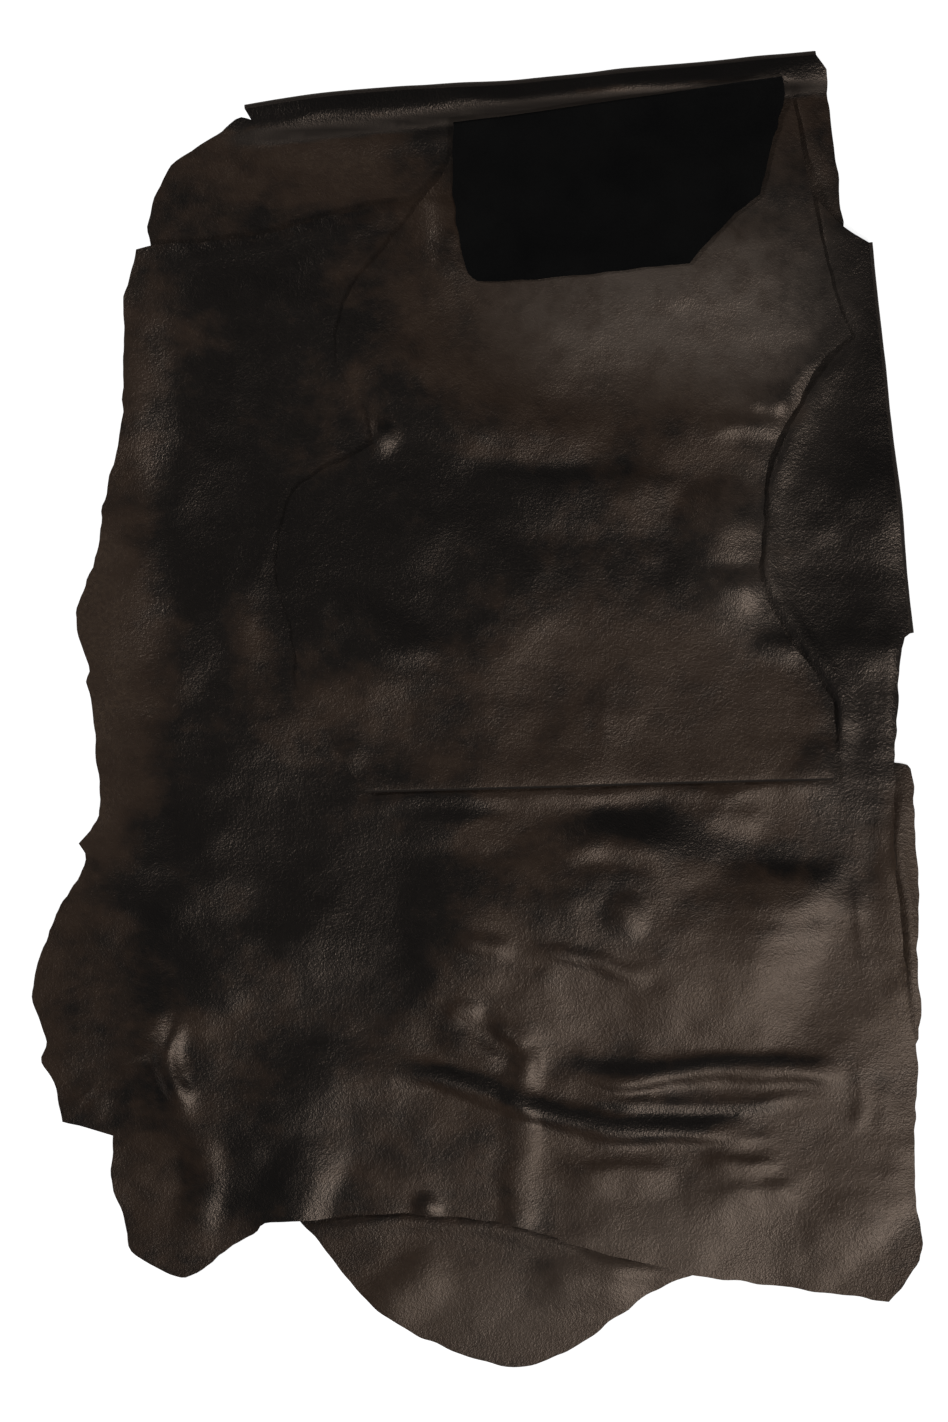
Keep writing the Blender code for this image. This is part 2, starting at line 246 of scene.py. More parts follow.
NECK_TURN_ROWS = [
    (*COVER_FOLD[0], CORNER),
    (*COVER_FOLD[1], CORNER),
    (21.8, 34.0, SMOOTH),
    (22.6, 28.8, SMOOTH),
    (19.6, 22.5, SMOOTH),
    (18.2, 13.0, SMOOTH),
    (21.2, 4.5, SMOOTH),
    (24.6, -0.5, SMOOTH),
    (*NECK_FOLD[0], CORNER),
    (*NECK_FOLD[1], CORNER),
    (-10.6, -0.4, SMOOTH),
    (-11.9, 9.5, SMOOTH),
    (-10.4, 15.5, SMOOTH),
    (-5.3, 21.5, SMOOTH),
    (-7.6, 28.4, SMOOTH),
]
NECK_ROWS = [
    (*FLAP_FOLD[0], CORNER),
    (*FLAP_FOLD[1], CORNER),
    (23.1, 47.3, SMOOTH),
    (24.1, 42.3, SMOOTH),
    (24.7, 39.8, SMOOTH),
    (25.6, 35.7, SMOOTH),
    (26.6, 32.0, SMOOTH),
    (27.8, 29.3, CORNER),
    (26.3, 28.2, SMOOTH),
    (25.0, 26.8, SMOOTH),
    (23.8, 24.2, SMOOTH),
    (22.5, 22.0, SMOOTH),
    (21.6, 19.3, SMOOTH),
    (21.4, 17.0, SMOOTH),
    (21.3, 14.0, SMOOTH),
    (21.1, 11.8, SMOOTH),
    (21.7, 9.5, SMOOTH),
    (23.2, 6.8, SMOOTH),
    (25.2, 4.3, SMOOTH),
    (26.6, 2.2, SMOOTH),
    (27.0, 0.3, SMOOTH),
    (*NECK_FOLD[0], CORNER),
    (*NECK_FOLD[1], CORNER),
    (-9.9, -3.2, SMOOTH),
    (-12.1, 0.6, SMOOTH),
    (-13.7, 2.6, SMOOTH),
    (-14.0, 6.5, SMOOTH),
    (-15.3, 11.8, SMOOTH),
    (-14.1, 17.4, SMOOTH),
    (-12.0, 19.1, SMOOTH),
    (-9.8, 20.2, SMOOTH),
    (-7.9, 21.3, CORNER),
    (-8.4, 23.5, SMOOTH),
    (-10.6, 27.7, SMOOTH),
    (-9.7, 32.4, SMOOTH),
    (-7.4, 35.3, SMOOTH),
    (-4.1, 39.4, SMOOTH),
    (-2.4, 41.9, SMOOTH),
]
FLAP_ROWS = [
    (*FLAP_FOLD[0], CORNER),
    (*FLAP_FOLD[1], CORNER),
    (22.6, 46.7, SMOOTH),
    (22.0, 44.5, SMOOTH),
    (21.3, 41.9, SMOOTH),
    (20.8, 39.7, CORNER),
    (18.7, 38.0, SMOOTH),
    (16.5, 35.7, SMOOTH),
    (15.6, 34.6, CORNER),
    (12.8, 34.3, SMOOTH),
    (6.0, 33.6, SMOOTH),
    (1.0, 33.3, SMOOTH),
    (-0.4, 33.5, SMOOTH),
    (-1.1, 34.6, SMOOTH),
    (-1.8, 38.6, SMOOTH),
    (-2.0, 42.3, SMOOTH),
]

STRIP, BASE, UNDER_TURN, COVER, NECK_TURN, NECK, FLAP = range(7)

# Layers, lowest first: outline, and how far past its edge the leather over it takes to
# come down.
LAYERS = [
    (STRIP_ROWS, 1.4 * CM),
    (BASE_ROWS, 4.5 * CM),
    (UNDER_TURN_ROWS, 7.5 * CM),
    (COVER_ROWS, 3.5 * CM),
    (NECK_TURN_ROWS, 6.5 * CM),
    (NECK_ROWS, 3.0 * CM),
    (FLAP_ROWS, 3.0 * CM),
]

# Folds, each from its layer to the next one up: layer, fold line, extra height at the
# fold, and how far in from the fold the layers take to come together.
FOLDS = [
    (STRIP, TOP_FOLD, 3.0 * MM, 2.6 * CM),
    (BASE, LEFT_FOLD, 0.8 * MM, 5.5 * CM),
    (UNDER_TURN, RIGHT_FOLD, 2.4 * MM, 5.0 * CM),
    (COVER, COVER_FOLD, 1.2 * MM, 4.5 * CM),
    (NECK_TURN, NECK_FOLD, 1.2 * MM, 3.0 * CM),
    (NECK, FLAP_FOLD, 2.0 * MM, 3.5 * CM),
]

# Creases: the lowest layer that each one lifts, the points of its crest, its reach to the
# left of the way the points run and to the right of it (cm), and its height (mm).
CREASES = [
    # wrinkles across the lower right
    (COVER, [(6.3, -26.8), (9.4, -27.4), (11.7, -27.5), (15.2, -27.0), (23.3, -26.8), (28.6, -27.2)],
     1.8, 1.2, 3.9),
    (COVER, [(6.0, -28.0), (9.4, -28.9), (12.4, -29.4), (17.5, -29.6), (23.3, -29.3), (26.8, -29.0)],
     1.0, 0.8, 1.9),
    (COVER, [(-7.7, -26.9), (-3.8, -27.2), (-0.7, -28.2), (2.0, -29.2), (4.7, -30.2), (9.4, -31.3),
             (15.2, -31.8), (19.9, -31.6), (21.6, -30.7)],
     1.9, 1.2, 4.1),
    (COVER, [(5.6, -33.3), (8.4, -34.6), (11.8, -34.7), (15.8, -35.8)], 1.2, 2.8, 2.5),
    (COVER, [(17.2, -33.7), (20.3, -34.1), (23.8, -34.0)], 0.9, 0.9, 1.5),
    (COVER, [(17.6, -36.6), (21.8, -36.4), (25.7, -35.9)], 1.3, 2.2, 1.7),
    (COVER, [(18.4, -32.7), (21.0, -32.2), (23.6, -31.8)], 0.8, 0.7, 0.9),
    # the ridges that end them at the left and at the right
    (COVER, [(3.4, -23.6), (3.7, -26.4), (3.1, -29.4), (3.7, -32.6), (3.0, -35.8)], 1.5, 2.0, 2.2),
    (COVER, [(2.4, -33.0), (2.9, -37.0), (2.4, -42.0)], 2.2, 1.6, 2.0),
    (COVER, [(28.9, -25.6), (29.5, -28.4), (29.4, -30.4), (28.7, -31.9)], 1.2, 0.9, 1.0),
    (COVER, [(30.8, -27.4), (31.1, -29.8), (30.9, -32.4)], 1.6, 1.2, 0.7),
    # slanting ridges above them
    (COVER, [(0.7, -23.1), (2.2, -24.1), (3.9, -25.1)], 1.5, 0.8, 1.8),
    (COVER, [(-3.0, -22.9), (-0.9, -24.9), (2.4, -27.2)], 1.3, 2.0, 2.4),
    # broad slope that catches the light above the wrinkles
    (COVER, [(-6.0, -15.8), (3.0, -14.9), (10.5, -14.6), (18.0, -16.4), (26.5, -18.4)], 7.5, 10.0, 7.2),
    # arch and folds under the neck's straight edge
    (COVER, [(4.6, -10.2), (6.6, -9.3), (9.3, -8.9), (12.3, -9.2), (15.6, -10.2)], 2.8, 2.0, 3.6),
    (COVER, [(18.5, -12.3), (23.1, -12.1), (28.4, -11.8)], 1.9, 3.2, 2.7),
    (COVER, [(16.9, -5.9), (20.4, -7.1), (22.3, -7.4)], 1.8, 1.8, 1.6),
    (COVER, [(-7.2, -7.5), (-1.5, -7.8), (3.9, -8.0)], 1.7, 2.6, 2.0),
    (COVER, [(-2.2, -16.6), (0.8, -17.0), (3.1, -17.1)], 1.2, 1.1, 2.1),
    (COVER, [(2.8, -17.6), (5.5, -17.4), (8.5, -18.0), (11.2, -19.1), (14.7, -18.7)], 1.1, 1.0, 1.8),
    (COVER, [(-2.6, -21.9), (0.4, -22.3)], 1.1, 1.5, 1.6),
    (COVER, [(28.0, -10.6), (29.0, -14.4), (29.7, -18.8)], 0.6, 0.6, 0.7),
    # left side and the two lobes
    (COVER, [(-23.2, -21.9), (-24.1, -25.3), (-23.7, -27.6), (-22.4, -30.2)], 1.3, 1.5, 5.6),
    (COVER, [(-28.2, -27.2), (-24.3, -26.0)], 0.7, 0.7, 1.2),
    (COVER, [(-31.7, -30.0), (-29.4, -28.0)], 0.8, 0.7, 1.3),
    (COVER, [(-21.6, -30.6), (-21.4, -33.1), (-21.1, -35.5), (-21.7, -38.3), (-22.2, -41.3)], 1.7, 2.2, 2.8),
    (COVER, [(-11.6, -31.0), (-13.0, -36.0), (-15.4, -42.6)], 2.5, 4.0, 3.6),
    (COVER, [(-28.6, -12.2), (-23.7, -13.0), (-18.0, -12.1)], 2.2, 3.8, 1.3),
    (COVER, [(-14.7, 19.8), (-15.8, 16.0), (-17.0, 12.3), (-17.8, 8.5), (-17.4, 4.7), (-16.3, 0.8)],
     1.8, 2.2, 1.3),
    # rises beside the right edges of the upper layers, which leave a groove along each edge
    (BASE, [(32.3, -3.0), (32.3, -9.7), (32.7, -13.6), (33.4, -19.4), (34.0, -24.0)], 1.2, 0.6, 2.0),
    (BASE, [(23.6, 48.6), (24.1, 46.0), (24.7, 43.0), (25.2, 40.0)], 1.5, 0.6, 1.8),
    (COVER, [(25.0, 40.4), (26.2, 35.8), (27.2, 32.0), (28.3, 28.8)], 1.5, 0.6, 1.8),
    (COVER, [(28.0, 28.2), (25.6, 26.4), (24.4, 23.9), (23.1, 21.7), (22.2, 19.2), (21.9, 16.8), (21.8, 14.0),
             (21.7, 11.7), (22.3, 9.8), (23.7, 7.2), (25.7, 4.7), (27.2, 2.4), (27.6, 0.3), (27.5, -4.6)],
     1.5, 0.6, 1.8),
    (COVER, [(31.3, 9.0), (31.1, 2.0), (31.2, -3.2)], 1.0, 5.0, 2.6),
    # the cover's drooping top edge
    (COVER, [(-26.4, 35.0), (-20.9, 35.6), (-16.0, 36.2), (-10.4, 37.7), (-5.0, 38.8), (1.0, 39.0)],
     0.6, 1.8, 1.3),
    # rises beside the cover's bottom edge and the neck's straight edge
    (BASE, [(-15.0, -39.7), (-6.2, -38.8), (1.6, -39.5), (9.4, -41.8), (17.0, -43.9)], 0.6, 1.5, 1.9),
    (COVER, [(-10.0, -5.7), (9.0, -5.1), (28.0, -4.6)], 0.6, 1.4, 1.6),
    # right edge of the cover, lifted off the base
    (COVER, [(31.6, -3.6), (31.8, -9.7), (32.2, -13.6), (33.0, -19.9), (33.6, -24.6)], 1.0, 2.4, 1.0),
    # folds across the neck
    (NECK, [(-2.9, 40.5), (-2.8, 36.4), (-2.2, 32.4)], 1.5, 1.6, 1.7),
    (NECK, [(-5.0, 22.2), (2.0, 22.4), (11.5, 21.8)], 3.0, 3.2, 2.4),
    (NECK, [(-0.7, 18.3), (10.6, 18.3), (16.7, 17.7)], 1.5, 5.0, 2.4),
    (NECK, [(19.2, 24.5), (23.7, 24.2)], 1.4, 1.0, 2.2),
    (NECK, [(16.6, 22.3), (19.6, 22.5), (22.6, 22.2)], 1.2, 1.0, 2.4),
    (NECK, [(16.8, 10.9), (21.6, 10.7)], 1.7, 2.3, 2.7),
    (NECK, [(20.6, 6.6), (24.8, 5.3)], 1.4, 1.5, 1.7),
    (NECK, [(-9.4, 6.2), (-2.7, 5.8)], 2.2, 1.8, 1.6),
    (NECK, [(-12.8, 8.8), (-9.6, 8.4), (-6.0, 8.5)], 2.2, 3.0, 1.8),
    (NECK, [(9.5, 4.0), (9.4, -0.5), (9.5, -4.2)], 0.8, 0.8, 0.5),
    (NECK, [(0.0, 33.5), (8.0, 34.5), (16.0, 35.5), (24.5, 36.5)], 2.5, 8.5, 4.6),
    (NECK, [(26.4, 29.4), (24.5, 27.0), (22.8, 24.6), (21.3, 21.8)], 1.1, 1.4, 2.2),
    # bottom lobe of the base
    (BASE, [(-9.2, -46.6), (-5.4, -44.2), (-2.2, -42.0)], 2.6, 3.2, 3.0),
    (BASE, [(3.4, -44.0), (8.5, -43.5), (13.6, -43.4)], 2.4, 3.4, 3.8),
    # low ridge under the turned top edge
    (BASE, [(-16.0, 43.2), (0.0, 44.5), (12.0, 45.8)], 0.7, 1.6, 1.5),
    # the roll of the turned top edge
    (BASE, [(-17.6, 44.8), (-10.0, 45.4), (0.0, 46.3), (12.0, 47.4), (24.8, 48.4)], 1.7, 1.0, 4.0),
]

# Humps: the lowest layer lifted, place, reach (cm) and height (mm)
HUMPS = [
    (COVER, (3.7, -26.2), 1.5, 1.6),
    (COVER, (11.2, -14.6), 2.2, 2.2),
    (COVER, (-29.7, -29.5), 1.6, 1.4),
    (COVER, (-4.0, -37.6), 1.4, 2.8),
    (COVER, (36.5, -47.0), 15.0, 9.0),
    (NECK, (-7.6, 21.8), 1.8, 3.8),
    (NECK, (18.2, 15.4), 4.0, 6.2),
    (NECK, (-9.9, -2.4), 1.9, 1.8),
]

# Where the turned top edge bulges out: place, reach across and along (cm), and how far (mm)
TOP_BULGE = ((-9.5, 46.5), (13.0, 4.0), 4.5)

# Low waves all over: how many, their height, and the range of their lengths
SWELLS = [
    (14, 0.42 * MM, 7 * CM, 26 * CM),
    (22, 0.06 * MM, 1.8 * CM, 5 * CM),
]
SWELL_SEED = 11
BASE_SWELL = 0.4            # how much of the waves the base shows, as rises only
COVER_SWELL, COVER_LIFT = 0.6, 1.2 * MM     # the same for the cover, which also lies a little higher

# Small sideways moves: how far, how many waves, the range of their lengths, and two seeds
RAGGED = (0.5 * MM, 12, (1.1 * CM, 5 * CM), (51, 52))       # of the cut edges
WOBBLE = (1.1 * MM, 10, (4 * CM, 13 * CM), (31, 32))        # of the creases
TRUE_ENDS = 4               # points over which a ragged edge comes true at its ends

CREASE_FADE = 6 * CM        # how far in from its ends a crease fades
FADE_SHARE = 0.4            # and the most of its length that each fade takes
CREASE_END = 0.1            # how far into its fade a crease starts

# Tone patches: place, reach across and along (cm), and how much browner (or blacker) it is.
# The browner ones on the neck's upper part, over the lower right and on the base's bottom lobe lie where the
# sheen falls and lift it: browner leather and painted sheen both.
TONES_AND_SHEEN = [
    ((30.0, 22.0), (9.0, 20.0), -0.9),
    ((30.5, 1.0), (6.0, 14.0), -0.5),
    ((-17.0, 30.0), (11.0, 10.0), -0.5),
    ((-19.5, 11.0), (9.0, 14.0), -0.6),
    ((-5.0, 13.0), (14.0, 10.0), -0.5),
    ((-16.0, -13.0), (15.0, 10.0), -0.5),
    ((-15.0, -32.0), (6.0, 10.0), -0.4),
    ((-29.0, 8.0), (5.5, 26.0), 0.6),
    ((-17.2, 8.5), (2.0, 9.0), 0.5),
    ((33.2, -13.0), (2.6, 13.0), 0.9),
    ((20.0, -22.0), (16.0, 8.0), 0.4),
    ((22.0, -38.0), (16.0, 9.0), 0.4),
    ((-4.2, -44.8), (5.0, 3.0), 0.5),
    ((8.0, -45.0), (11.0, 5.0), 0.4),
    ((10.0, 30.0), (14.0, 9.0), 0.4),
    ((-15.0, 40.0), (14.0, 4.0), 0.3),
    ((10.0, 2.0), (12.0, 7.0), 0.3),
]
BASE_TONE = 0.6

# Painted shade: dark streaks along the roll of the top edge, in the valleys of the wrinkles at the lower
# right and under the neck's straight edge: path, half width (cm), and how much blacker
SHADE_STREAKS = [
    ([(-23.0, 45.3), (0.0, 47.6), (30.0, 50.6)], 1.5, -1.6),
    ([(4.6, -26.0), (12.0, -26.6), (20.0, -26.0), (28.8, -26.3)], 1.0, -0.7),
    ([(-8.0, -26.3), (-1.0, -27.5), (5.0, -29.8), (12.0, -31.2), (20.0, -31.0)], 1.1, -0.7),
    ([(4.0, -7.6), (10.0, -7.4), (15.4, -8.4), (19.0, -9.8), (28.4, -10.4)], 2.2, -0.5),
    ([(-7.6, -6.2), (3.9, -6.6)], 1.4, -0.6),
    ([(6.0, -29.0), (16.0, -30.2), (26.0, -29.2)], 0.6, -0.5),
]

# Matt grooves with painted shade, along the foot of the roll of the top edge: path and half width (cm)
SHADED_GROOVES = [
    ([(-19.5, 43.7), (-9.6, 44.6), (-2.2, 45.4), (5.2, 46.3), (14.0, 46.9), (28.0, 47.9)], 0.8),
]

# Paler patches: place, reach across and along (cm), and how pale. The three on the neck stand in for its
# sheen and its soft highlight: painted sheen.
# The two lower down, on the cover and the base's bottom lobe, are paler leather where the highlights fall:
# partly painted sheen.
PALE_SHEEN_PATCHES = [
    ((13.0, 31.5), (13.0, 6.5), 1.0),
    ((22.0, 31.0), (6.0, 13.0), 0.5),
    ((20.0, 12.5), (4.0, 7.0), 0.35),
    ((14.0, -40.0), (13.0, 5.0), 0.35),
    ((3.0, -46.5), (10.0, 5.0), 0.4),
]
PATCH_FALL = 0.7            # a patch is gone at 1 / this of its reach


def ease(value):
    """Smooth rise from 0 to 1."""
    value = np.clip(value, 0.0, 1.0)
    return value * value * (3 - 2 * value)


def run_along(curve):
    """How far along a curve each of its points is."""
    return np.concatenate([[0.0], np.cumsum(np.linalg.norm(np.diff(curve, axis=0), axis=1))])


def along(points, spacing):
    """Evenly spaced points on the smooth curve through points, both ends included."""
    first = 2 * points[0] - points[1]
    last = 2 * points[-1] - points[-2]
    knots = np.vstack([first, points, last])
    step = np.linspace(0.0, 1.0, CURVE_STEPS, endpoint=False)[:, None]
    pieces = []
    for a, b, c, d in zip(knots, knots[1:], knots[2:], knots[3:]):
        square = (2 * a - 5 * b + 4 * c - d) * step ** 2
        cube = (3 * b - a - 3 * c + d) * step ** 3
        pieces.append((2 * b + (c - a) * step + square + cube) / 2)
    curve = np.vstack(pieces + [points[-1:]])
    run = run_along(curve)
    places = np.linspace(0.0, run[-1], max(1, round(run[-1] / spacing)) + 1)
    return np.column_stack([np.interp(places, run, curve[:, axis]) for axis in (0, 1)])


def waves(places, seed, count, shortest, longest):
    """Sum of unit waves over the places, in a fixed set of directions and lengths."""
    draw = np.random.default_rng(seed)
    total = np.zeros(len(places))
    for _ in range(count):
        heading, start = draw.uniform(0.0, 2 * math.pi, 2)
        length = draw.uniform(shortest, longest)
        way = np.array([math.cos(heading), math.sin(heading)])
        total += np.sin(places @ way * 2 * math.pi / length + start)
    return total


def stray(places, reach, count, lengths, seeds):
    """A small sideways move for each place, made of waves: x from one seed, y from the other."""
    size = reach / math.sqrt(count / 2)
    return np.column_stack([size * waves(places, seed, count, *lengths) for seed in seeds])


def ragged(points):
    """A cut edge as it comes off the knife: a little uneven, but true at its two ends."""
    held = np.minimum(np.arange(len(points)), np.arange(len(points))[::-1]) / TRUE_ENDS
    return points + ease(held)[:, None] * stray(points, *RAGGED)


def outline(rows, spacing):
    """The closed outline through rows: smooth between one corner and the next."""
    points = np.array([row[:2] for row in rows]) * CM
    corners = [number for number, row in enumerate(rows) if row[2] == CORNER]
    loop = []
    for start, end in zip(corners, corners[1:] + [corners[0] + len(rows)]):
        stretch = [points[number % len(rows)] for number in range(start, end + 1)]
        curve = along(np.array(stretch), spacing)
        if len(stretch) > 2:
            curve = ragged(curve)
        loop.append(curve[:-1])
    return np.vstack(loop)


def distance_to_line(places, start, end):
    """Distance from each place to the straight line from start to end."""
    line = end - start
    share = np.clip((places - start) @ line / (line @ line), 0.0, 1.0)
    return np.linalg.norm(places - start - share[:, None] * line, axis=1)


def depth_inside(places, loop):
    """How far each place is inside the closed loop; below zero outside it."""
    nearest = np.full(len(places), np.inf)
    inside = np.zeros(len(places), dtype=bool)
    x, y = places[:, 0], places[:, 1]
    for start, end in zip(loop, np.roll(loop, -1, axis=0)):
        nearest = np.minimum(nearest, distance_to_line(places, start, end))
        if start[1] != end[1]:
            crossing = start[0] + (y - start[1]) / (end[1] - start[1]) * (end[0] - start[0])
            inside ^= ((start[1] > y) != (end[1] > y)) & (x < crossing)
    return np.where(inside, nearest, -nearest)


def bump(distance):
    """Smooth bump: 1 at no distance, 0 from 1 outwards."""
    return np.clip(1 - distance ** 2, 0.0, 1.0) ** 2


class DepthField:
    """How deep inside an outline any place is, read from a grid worked out once."""

    def __init__(self, rows, low, high):
        self.low = low
        self.shape = np.ceil((high - low) / FIELD_STEP).astype(int) + 2
        x = low[0] + FIELD_STEP * np.arange(self.shape[0])
        y = low[1] + FIELD_STEP * np.arange(self.shape[1])
        grid = np.array(np.meshgrid(x, y, indexing="ij")).reshape(2, -1).T
        self.depth = depth_inside(grid, outline(rows, FIELD_EDGE_STEP)).reshape(self.shape)

    def at(self, places):
        """Depth at each place, blended from the four grid points around it."""
        steps = (places - self.low) / FIELD_STEP
        cell = np.clip(steps.astype(int), 0, self.shape - 2)
        share = np.clip(steps - cell, 0.0, 1.0)
        column, row = cell.T
        x, y = share.T
        near = self.depth[column, row] * (1 - x) + self.depth[column + 1, row] * x
        far = self.depth[column, row + 1] * (1 - x) + self.depth[column + 1, row + 1] * x
        return near * (1 - y) + far * y


def crease_rise(places, path, left_reach, right_reach):
    """Shape of one crease, from 0 to 1, over each place: full along its middle."""
    curve = along(np.array(path) * CM, CREASE_STEP)
    reach = max(left_reach, right_reach)
    rise = np.zeros(len(places))
    low, high = curve.min(axis=0) - reach, curve.max(axis=0) + reach
    near = np.all((places > low) & (places < high), axis=1)
    spots = places[near]
    if len(spots) == 0:
        return rise
    run = run_along(curve)
    closest = np.full(len(spots), np.inf)
    side = np.zeros(len(spots))
    where = np.zeros(len(spots))
    for number, (start, end) in enumerate(zip(curve, curve[1:])):
        line = end - start
        share = np.clip((spots - start) @ line / (line @ line), 0.0, 1.0)
        offset = spots - start - share[:, None] * line
        distance = np.linalg.norm(offset, axis=1)
        better = distance < closest
        closest = np.where(better, distance, closest)
        turn = line[0] * offset[:, 1] - line[1] * offset[:, 0]
        side = np.where(better, turn, side)
        where = np.where(better, run[number] + share * (run[number + 1] - run[number]), where)
    across = bump(closest / np.where(side > 0, left_reach, right_reach))
    fade = min(FADE_SHARE * run[-1], CREASE_FADE)
    come = ease(CREASE_END + where / fade)
    go = ease(CREASE_END + (run[-1] - where) / fade)
    rise[near] = across * come * go
    return rise


def swell(places):
    """Gentle rise and fall all over."""
    height = np.zeros(len(places))
    for number, (count, rise, shortest, longest) in enumerate(SWELLS):
        height += rise * waves(places, SWELL_SEED + number, count, shortest, longest)
    return height


def crease_height(number, places):
    """How far the creases and humps lift a layer over each place."""
    height = np.zeros(len(places))
    strayed = places + stray(places, *WOBBLE)
    for layer, path, left, right, rise in CREASES:
        if layer <= number:
            height += rise * MM * crease_rise(strayed, path, left * CM, right * CM)
    for layer, place, reach, rise in HUMPS:
        if layer <= number:
            distance = np.linalg.norm(places - np.array(place) * CM, axis=1)
            height += rise * MM * bump(distance / (reach * CM))
    return height


def layer_height(number, places, fields):
    """Height of a layer's middle surface over each place."""
    height = np.full(len(places), THICKNESS / 2)
    for lower in range(number):
        reach = LAYERS[lower][1]
        past_edge = -fields[lower].at(places)
        height += LAYER_PITCH * (1 - ease((past_edge - LEDGE) / (reach - LEDGE)))
    for lower, line, lift, reach in FOLDS:
        if lower < number:
            start, end = np.array(line) * CM
            height += lift * bump(distance_to_line(places, start, end) / reach)
    if number >= BASE:
        height += crease_height(number, places) + np.maximum(BASE_SWELL * swell(places), 0.0)
    if number >= COVER:
        height += np.maximum(COVER_SWELL * swell(places) + COVER_LIFT, 0.0)
    return height


def lattice(low, high, spacing):
    """Evenly spread points over a box."""
    rows = np.arange(low[1], high[1], spacing * math.sqrt(3) / 2)
    points = []
    for number, y in enumerate(rows):
        x = np.arange(low[0] + spacing * (number % 2) / 2, high[0], spacing)
        points.append(np.column_stack([x, np.full(len(x), y)]))
    return np.vstack(points)


def inner_points(number, fields, low, high):
    """Points inside a layer: close together where it is creased, far apart where it is hidden."""
    chosen = []
    for spacing in (FINE, MEDIUM, COARSE):
        points = lattice(low, high, spacing)
        points = points[fields[number].at(points) > spacing * EDGE_GAP]
        over = [field.at(points) for field in fields[number + 1:]]
        hidden = np.max(over, axis=0) > HIDDEN_DEPTH if over else np.zeros(len(points), dtype=bool)
        creased = np.zeros(len(points), dtype=bool)
        if number >= BASE:
            creased = crease_height(number, points) > CREASED
        wanted = {FINE: creased & ~hidden, MEDIUM: ~creased & ~hidden, COARSE: hidden}[spacing]
        chosen.append(points[wanted])
    return np.vstack(chosen)


def add_layer(mesh, number, fields, low, high):
    """Fill one layer's outline with triangles, at the layer's heights."""
    loop = outline(LAYERS[number][0], EDGE_STEP)
    places = np.vstack([loop, inner_points(number, fields, low, high)])
    flat = [Vector(place) for place in places]
    edge = [list(range(len(loop)))]
    corners, _, faces, *_ = delaunay_2d_cdt(flat, [], edge, ONLY_INSIDE, SAME_PLACE)
    spots = np.array([tuple(corner) for corner in corners])
    heights = layer_height(number, spots, fields)
    verts = [mesh.verts.new((x, y, z)) for (x, y), z in zip(spots, heights)]
    for face in faces:
        mesh.faces.new([verts[corner] for corner in face])
    return verts


def fold_verts(verts, line):
    """The verts of a layer that lie on its fold line, in order along it."""
    start, end = np.array(line) * CM
    spots = np.array([vert.co.xy[:] for vert in verts])
    near = np.flatnonzero(distance_to_line(spots, start, end) < ON_LINE)
    order = near[np.argsort((spots[near] - start) @ (end - start))]
    return [verts[number] for number in order]


def add_fold(mesh, lower, upper, outward, matt_and_shade):
    """Carry the lower fold edge round to the upper one in a half circle."""
    middles = [(a.co + b.co) / 2 for a, b in zip(lower, upper)]
    radii = [(b.co.z - a.co.z) / 2 for a, b in zip(lower, upper)]
    edge = lower
    for step in range(1, ROUND_STEPS + 1):
        turn = math.pi * step / ROUND_STEPS
        ring = []
        for middle, radius in zip(middles, radii):
            sideways = outward * radius * math.sin(turn)
            upwards = Vector((0, 0, -radius * math.cos(turn)))
            ring.append(middle + sideways + upwards)
        if step == ROUND_STEPS:
            ring = upper
        else:
            ring = [mesh.verts.new(place) for place in ring]
            # the fold's round is kept matt and black: painted shade where its rim would catch the light
            for vert in ring:
                vert[matt_and_shade] = 1.0
        for a, b, c, d in zip(edge, edge[1:], ring[1:], ring):
            mesh.faces.new((a, b, c, d))
        edge = ring


def bulge_top(mesh):
    """Push the turned top edge out where it bulges."""
    place, reach, push = TOP_BULGE
    spots = np.array([vert.co.xy[:] for vert in mesh.verts])
    offset = (spots - np.array(place) * CM) / (np.array(reach) * CM)
    moves = push * MM * bump(np.linalg.norm(offset, axis=1))
    for vert, move in zip(mesh.verts, moves):
        vert.co.y += move


def folded_sheet():
    """The whole hide as one open surface, its normals on the grain side."""
    loops = [outline(rows, FIELD_EDGE_STEP) for rows, _ in LAYERS]
    low = np.vstack(loops).min(axis=0) - FIELD_MARGIN
    high = np.vstack(loops).max(axis=0) + FIELD_MARGIN
    fields = [DepthField(rows, low, high) for rows, _ in LAYERS]
    mesh = bmesh.new()
    # how matt and dark each point is: painted shade on the fold rounds
    matt_and_shade = mesh.verts.layers.float.new("matt_and_shade")
    layers = [add_layer(mesh, number, fields, low, high) for number in range(len(LAYERS))]
    for lower, line, _, _ in FOLDS:
        start, end = np.array(line)
        across = np.array([start[1] - end[1], end[0] - start[0]])
        across /= np.linalg.norm(across)
        spots = np.array([vert.co.xy[:] for vert in layers[lower]])
        if (spots.mean(axis=0) - start * CM) @ across > 0:
            across = -across
        ends = [fold_verts(layers[number], line) for number in (lower, lower + 1)]
        add_fold(mesh, *ends, Vector((*across, 0)), matt_and_shade)
    bulge_top(mesh)
    bmesh.ops.recalc_face_normals(mesh, faces=mesh.faces)
    if layers[COVER][len(layers[COVER]) // 2].normal.z < 0:
        bmesh.ops.reverse_faces(mesh, faces=mesh.faces)
    mesh.normal_update()
    return mesh


def placed(name, data):
    """A new object in the scene."""
    item = bpy.data.objects.new(name, data)
    bpy.context.scene.collection.objects.link(item)
    return item


def finish_modifiers(piece):
    """Replace a piece's mesh by what its modifiers make of it."""
    bpy.context.view_layer.update()
    result = piece.evaluated_get(bpy.context.evaluated_depsgraph_get())
    data = bpy.data.meshes.new_from_object(result)
    piece.modifiers.clear()
    piece.data = data


